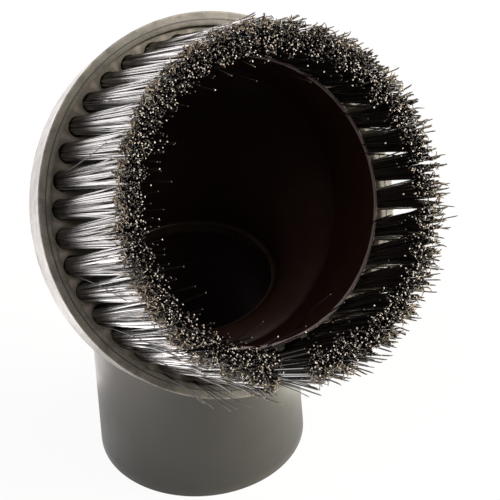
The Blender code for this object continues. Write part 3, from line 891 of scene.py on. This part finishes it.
def filament_paths(head, tufts, index, chance):
    """Centre lines of one tuft's filaments, in its own x (outward), y and height.

    The bundle is flat, above all on its inner side, and stands outward in its hole.
    The outward lean grows by a mix of the height's share and its square. Sideways the outer
    filaments fan out low down, by 1 - (1 - s)^1.4, and the inner ones keep together and fan out
    by the share's cube. A small sine adds each filament's own bow. Also returns each root's
    outward share, which filaments are loose, how matt they are and how thin.
    """
    count = tufts.filaments
    root = root_places(count, tufts.root_radius, chance)
    outward, aside = root.T / tufts.root_radius
    root[:, 0] = root[:, 0] * np.where(outward < 0, FLAT_IN, FLAT_OUT) + ROOT_SHIFT
    tip, height, late, early, loose, matt, thin = tip_places(head, tufts, index, outward, aside, chance)
    late, early = late[:, None], early[:, None]
    lean_out = late * STATIONS**2 + (1 - late) * STATIONS
    lean_aside = early * (1 - (1 - STATIONS) ** 1.4) + (1 - early) * STATIONS**3
    side = root[:, None] + (tip - root)[:, None] * stacked(lean_out, lean_aside)
    bow = chance.normal(0, 0.06 * MM, (count, 1, 2))
    side = side + bow * np.sin(math.pi * STATIONS)[None, :, None]
    level = tufts.root_height + (height - tufts.root_height)[:, None] * STATIONS
    return np.concatenate([side, level[..., None]], axis=2), outward, loose, matt, thin


def curl_ends(paths, outward, straight, tufts, chance):
    """Adds each filament's last stretch, bent in an even curve towards one side.

    The bend's angle grows in equal steps over four short stretches. Straight ones hardly bend.
    """
    count = len(paths)
    ahead = unit(paths[:, -1] - paths[:, -2])
    heading = chance.uniform(0, 2 * math.pi, count)
    towards = stacked(np.cos(heading), np.sin(heading), 0.0)
    towards = unit(towards - ahead * np.einsum("ij,ij->i", towards, ahead)[:, None])
    curly = tufts.curled * chance.uniform(0.4, 1.6)
    curls = (chance.random(count) < curly * np.clip(0.15 + 1.1 * outward, 0.03, 1.2)) & ~straight
    bend = np.radians(np.where(curls, chance.uniform(45, 150, count), chance.uniform(0, 14, count)))
    stretch = np.where(curls, chance.uniform(0.25, 0.48, count), 0.35) * MM
    turned = (bend[:, None] * (np.arange(CURL_STEPS) + 0.5) / CURL_STEPS)[..., None]
    moves = ahead[:, None] * np.cos(turned) + towards[:, None] * np.sin(turned)
    ends = paths[:, -1:] + np.cumsum(moves * stretch[:, None, None], axis=1)
    return np.concatenate([paths, ends], axis=1), np.cross(ahead, towards), curls


def tubes(paths, across, radii, sides):
    """Closed tubes along paths: rings square to each path, and a face over each end.

    Returns points, quads and end faces. A ring's first axis is the part of across that is square
    to the path, its second axis their cross product.
    """
    count, rows, _ = paths.shape
    ahead = unit(np.gradient(paths, axis=1))
    first = unit(across[:, None] - ahead * np.einsum("ij,ikj->ik", across, ahead)[..., None])
    second = np.cross(ahead, first)
    turn = np.arange(sides) * 2 * math.pi / sides
    ring = first[:, :, None] * np.cos(turn)[:, None] + second[:, :, None] * np.sin(turn)[:, None]
    points = paths[:, :, None] + ring * radii[..., None, None]
    one = grid_faces(rows, sides)
    offset = (np.arange(count) * rows * sides)[:, None, None]
    quads = (one[None] + offset).reshape(-1, 4)
    bottom = np.arange(sides)[::-1][None] + offset[:, 0]
    top = ((rows - 1) * sides + np.arange(sides))[None] + offset[:, 0]
    return points.reshape(-1, 3), quads, bottom, top


def tuft_mesh(name, head, tufts, index, chance):
    """All the filaments of a tuft as one mesh: tubes that narrow where they curl or stand loose.

    Each face has a number for how pale it is, partly as a painted glint, how frayed, partly as a painted
    highlight, how dull, and one for its strand.
    """
    paths, outward, loose, matt, thin = filament_paths(head, tufts, index, chance)
    paths, across, curls = curl_ends(paths, outward, loose | (matt > 0.9), tufts, chance)
    count, rows, _ = paths.shape
    sides = 5
    size = tufts.thickness / 2 * chance.uniform(0.86, 1.14, count) * thin
    swell = np.ones((count, rows))
    bright_end_and_glint = chance.random(count) < BRIGHT_ENDS_AND_GLINTS
    swell[:, -1] = np.where(bright_end_and_glint, 1.12, 0.9)
    swell[curls | loose, -4:] = (0.9, 0.8, 0.7, 0.6)
    points, quads, bottom, top = tubes(paths, across, size[:, None] * swell, sides)
    strand = chance.random(count)
    # Curled and loose ends grow pale: fraying, and a painted highlight.
    worn_and_painted_light = np.where(curls, chance.uniform(0.2, 1.0, count), 0.0)
    worn_and_painted_light = np.where(loose, chance.uniform(0.1, 1.0, count), worn_and_painted_light)
    along = np.zeros((count, rows - 1))
    along[:, -len(FRAYING_AND_PAINTED_HIGHLIGHT):] = worn_and_painted_light[:, None] * FRAYING_AND_PAINTED_HIGHLIGHT
    # About a quarter of the ends are painted pale, partly as painted glints.
    cut = np.where(bright_end_and_glint, chance.uniform(0.7, 1.0, count), chance.uniform(0.0, 0.08, count))
    none = np.zeros(count)
    numbers = {
        # name: (along each filament, its lower end, its upper end)
        "pale_end_and_painted_glint": (np.zeros_like(along), none, cut),
        "strand": (strand[:, None] + np.zeros_like(along), strand, strand),
        "frayed_and_painted_highlight": (along, none, worn_and_painted_light),
        "dull": (np.maximum(matt[:, None], DULLING), none, none + 1),
    }
    values = {
        key: ("FACE", np.concatenate([np.repeat(side.ravel(), sides), lower, upper]))
        for key, (side, lower, upper) in numbers.items()
    }
    place = tuft_place(head, index)
    world = turned_into_place(head, points + np.array([head.tuft_circle, 0.0, 0.0]), place)
    return put_mesh(name, world, [quads, np.concatenate([bottom, top])], values)


def build_tufts(scene):
    """A mesh of filaments for each tuft, each with its own seed."""
    head, tufts = scene.brush_head, scene.brush_tufts
    material = nylon_material(tufts)
    for index, node in enumerate(TUFT_NODES):
        chance = np.random.default_rng(400 + index)
        name = f"bristles_{index + 1:02d}"
        mesh = tuft_mesh(name, head, tufts, index, chance)
        put_piece(name, mesh, [material], [node], 60.0)


# Stage

def shown_rays(tree):
    """1 for the rays that show a background: from the camera, a glossy surface or glass."""
    rays = tree.nodes.new("ShaderNodeLightPath").outputs
    both = calculate(tree, "MAXIMUM", rays["Is Camera Ray"], rays["Is Glossy Ray"])
    return calculate(tree, "MAXIMUM", both, rays["Is Transmission Ray"])


def floor_material(rgb):
    """A pale floor that shows white, still takes the brush's shadow, and is dark inside the neck."""
    material, tree, shader, place = new_material("Floor")
    tree.nodes.remove(shader)
    cloudy = spread_value(tree, noise(tree, place, 6.0), 0.3, 0.7, 0.97, 1.0)
    tint = blend_colour(tree, 1.0, opaque(rgb), add_node(tree, "ShaderNodeCombineXYZ", {
        "X": cloudy, "Y": cloudy, "Z": cloudy}).outputs[0], "MULTIPLY")
    off_neck = add_node(
        tree, "ShaderNodeVectorMath", {0: place, 1: (0.0, NECK_Y, 0.0)}, operation="DISTANCE")
    open_floor = spread_value(tree, off_neck.outputs["Value"], 16.5 * MM, 18.0 * MM, 0.0, 0.93)
    matte = add_node(tree, "ShaderNodeBsdfDiffuse", {"Color": tint})
    white = add_node(tree, "ShaderNodeEmission", {"Color": (1, 1, 1, 1), "Strength": 1.0})
    shown = calculate(tree, "MULTIPLY", shown_rays(tree), open_floor)
    mixed = add_node(tree, "ShaderNodeMixShader", {"Fac": shown, 1: matte.outputs[0], 2: white.outputs[0]})
    feed(tree, tree.nodes["Material Output"], {"Surface": mixed.outputs[0]})
    return material


def build_floor(stage):
    """A round floor a hair under the brush: rings of points at growing radii, closed by a fan."""
    columns, height, radius = 96, -0.05 * MM, np.array([0.05, 0.4, 1.5, 3.2])[:, None]
    column = np.arange(columns)
    turn = np.linspace(0, 2 * math.pi, columns, endpoint=False)
    rings = stacked(radius * np.cos(turn), radius * np.sin(turn), height).reshape(-1, 3)
    points = np.concatenate([rings, [[0, 0, height]]])
    quads = grid_faces(len(radius), columns)[:, ::-1]
    fan = stacked(column, np.roll(column, -1), len(rings))
    mesh = bpy.data.meshes.new("floor")
    mesh.from_pydata(points.tolist(), [], quads.tolist() + fan.tolist())
    mesh.materials.append(floor_material(stage.floor))
    floor = put_object("floor", mesh)


LAMPS = {
    # name: (place, target, width, height, radiance, colour)
    "key": ((0.52, -0.45, 0.56), (0.0, 0.005, 0.07), 0.80, 0.80, 3.7, (1.0, 0.95, 0.87)),
    "right low": ((0.62, -0.42, 0.20), (0.0, 0.005, 0.05), 0.50, 0.50, 6.2, (1.0, 0.96, 0.86)),
    "left fill": ((-0.45, -0.15, 0.95), (0.0, 0.005, 0.07), 0.60, 0.60, 2.5, (1.0, 0.96, 0.93)),
    "table glow": ((-0.16, 0.285, 0.004), (-0.16, 0.285, 1.0), 0.60, 0.49, 1.65, (1.0, 0.925, 0.915)),
    "left glow": ((-0.105, -0.012, 0.003), (-0.105, -0.012, 1.0), 0.11, 0.15, 1.8, (1.0, 0.95, 0.92)),
    "right glow": ((0.125, -0.010, 0.003), (0.125, -0.010, 1.0), 0.20, 0.20, 2.9, (1.0, 0.97, 0.80)),
}


def build_lamps():
    """Area lamps that point their -Z at their targets. Their energy is 4 by radiance by area."""
    for name, (place, target, width, height, radiance, tint) in LAMPS.items():
        data = bpy.data.lights.new(name, "AREA")
        data.shape = "RECTANGLE"
        data.size, data.size_y = width, height
        data.energy = radiance * 4 * width * height
        data.color = tint
        lamp = put_object(name, data)
        lamp.location = place
        lamp.rotation_mode = "QUATERNION"
        lamp.rotation_quaternion = (Vector(target) - Vector(place)).to_track_quat("-Z", "Y")
        lamp.visible_camera = False


def build_world(stage):
    """An even dim light. Where it shows as a background it is white at the horizon, dim overhead."""
    world = bpy.data.worlds.new("Studio")
    bpy.context.scene.world = world
    world.use_nodes = True
    tree = world.node_tree
    direction = tree.nodes.new("ShaderNodeTexCoord").outputs["Generated"]
    height = add_node(tree, "ShaderNodeSeparateXYZ", {"Vector": direction}).outputs["Z"]
    backdrop = spread_value(tree, height, 0.10, 0.40, 1.0 - stage.ambient, 0.0)
    strength = calculate(tree, "MULTIPLY_ADD", shown_rays(tree), backdrop, stage.ambient)
    feed(tree, tree.nodes["Background"], {"Color": (1, 1, 1, 1), "Strength": strength})


def build_camera(head, stage):
    """A long lens from the photograph's side, aimed so that the rim lands where it does there."""
    a, e = stage.azimuth, stage.elevation
    back = Vector((math.sin(a) * math.cos(e), -math.cos(a) * math.cos(e), math.sin(e)))
    right = Vector((math.cos(a), math.sin(a), 0.0))
    up = back.cross(right)
    level, tilt = math.cos(stage.roll), math.sin(stage.roll)
    right, up = right * level - up * tilt, right * tilt + up * level
    data = bpy.data.cameras.new("camera")
    data.type = "PERSP"
    data.sensor_width = 36.0
    data.lens = stage.lens
    data.dof.use_dof = False
    distance = stage.across * stage.lens / data.sensor_width
    data.clip_start, data.clip_end = 0.05, 20.0
    rim = Vector(head_point(head, 0.0, 0.0, 0.0).tolist())
    place = rim + right * stage.aim_right - up * stage.aim_down + back * distance
    camera = put_object("camera", data)
    camera.matrix_world = Matrix.Translation(place) @ Matrix((right, up, back)).transposed().to_4x4()
    bpy.context.scene.camera = camera


# Operators

class BRUSH_OT_housing(bpy.types.Operator):
    """Builds the moulded housing: channel, hood, neck and socket"""

    bl_idname = "brush.housing"
    bl_label = "Housing"
    bl_options = {"REGISTER", "UNDO"}

    def execute(self, context):
        build_housing(context.scene)
        return {"FINISHED"}


class BRUSH_OT_ring(bpy.types.Operator):
    """Builds the bristle ring with its holes and its collar"""

    bl_idname = "brush.ring"
    bl_label = "Bristle ring"
    bl_options = {"REGISTER", "UNDO"}

    def execute(self, context):
        build_ring(context.scene)
        return {"FINISHED"}


class BRUSH_OT_tufts(bpy.types.Operator):
    """Builds every tuft of filaments"""

    bl_idname = "brush.tufts"
    bl_label = "Tufts"
    bl_options = {"REGISTER", "UNDO"}

    def execute(self, context):
        if len(TUFT_NODES) != context.scene.brush_head.tufts:
            raise RuntimeError(f"the frame has {len(TUFT_NODES)} tufts")
        build_tufts(context.scene)
        return {"FINISHED"}


class BRUSH_OT_stage(bpy.types.Operator):
    """Sets the floor, the lamps, the world and the camera"""

    bl_idname = "brush.stage"
    bl_label = "Stage"
    bl_options = {"REGISTER", "UNDO"}

    def execute(self, context):
        scene = context.scene
        build_floor(scene.brush_stage)
        build_lamps()
        build_world(scene.brush_stage)
        build_camera(scene.brush_head, scene.brush_stage)
        scene.view_settings.view_transform = "Standard"
        return {"FINISHED"}


class BRUSH_PT_panel(bpy.types.Panel):
    """Lists the brush's operators and settings"""

    bl_idname = "BRUSH_PT_panel"
    bl_label = "Dusting Brush"
    bl_space_type = "VIEW_3D"
    bl_region_type = "UI"
    bl_category = "Dusting Brush"

    def draw(self, context):
        for operator in OPERATORS:
            self.layout.operator(operator.bl_idname)
        for name in SETTINGS:
            group = getattr(context.scene, name)
            box = self.layout.box()
            box.label(text=name.replace("brush_", "").capitalize())
            for key in group.bl_rna.properties.keys():
                if key not in {"rna_type", "name"}:
                    box.prop(group, key)


OPERATORS = (BRUSH_OT_housing, BRUSH_OT_ring, BRUSH_OT_tufts, BRUSH_OT_stage)
SETTINGS = {
    "brush_head": HeadSettings,
    "brush_housing": HousingSettings,
    "brush_ring": RingSettings,
    "brush_tufts": TuftSettings,
    "brush_stage": StageSettings,
}


def register():
    """Adds the classes, and the settings to the scene."""
    for cls in (*SETTINGS.values(), *OPERATORS, BRUSH_PT_panel):
        bpy.utils.register_class(cls)
    for name, cls in SETTINGS.items():
        setattr(bpy.types.Scene, name, bpy.props.PointerProperty(type=cls))


def unregister():
    """Takes them out again."""
    for name in SETTINGS:
        delattr(bpy.types.Scene, name)
    for cls in (BRUSH_PT_panel, *OPERATORS[::-1], *SETTINGS.values()):
        bpy.utils.unregister_class(cls)


def main():
    """Builds the brush and its stage."""
    register()
    bpy.ops.brush.housing()
    bpy.ops.brush.ring()
    bpy.ops.brush.tufts()
    bpy.ops.brush.stage()
    bpy.context.view_layer.update()


if __name__ == "__main__":
    main()
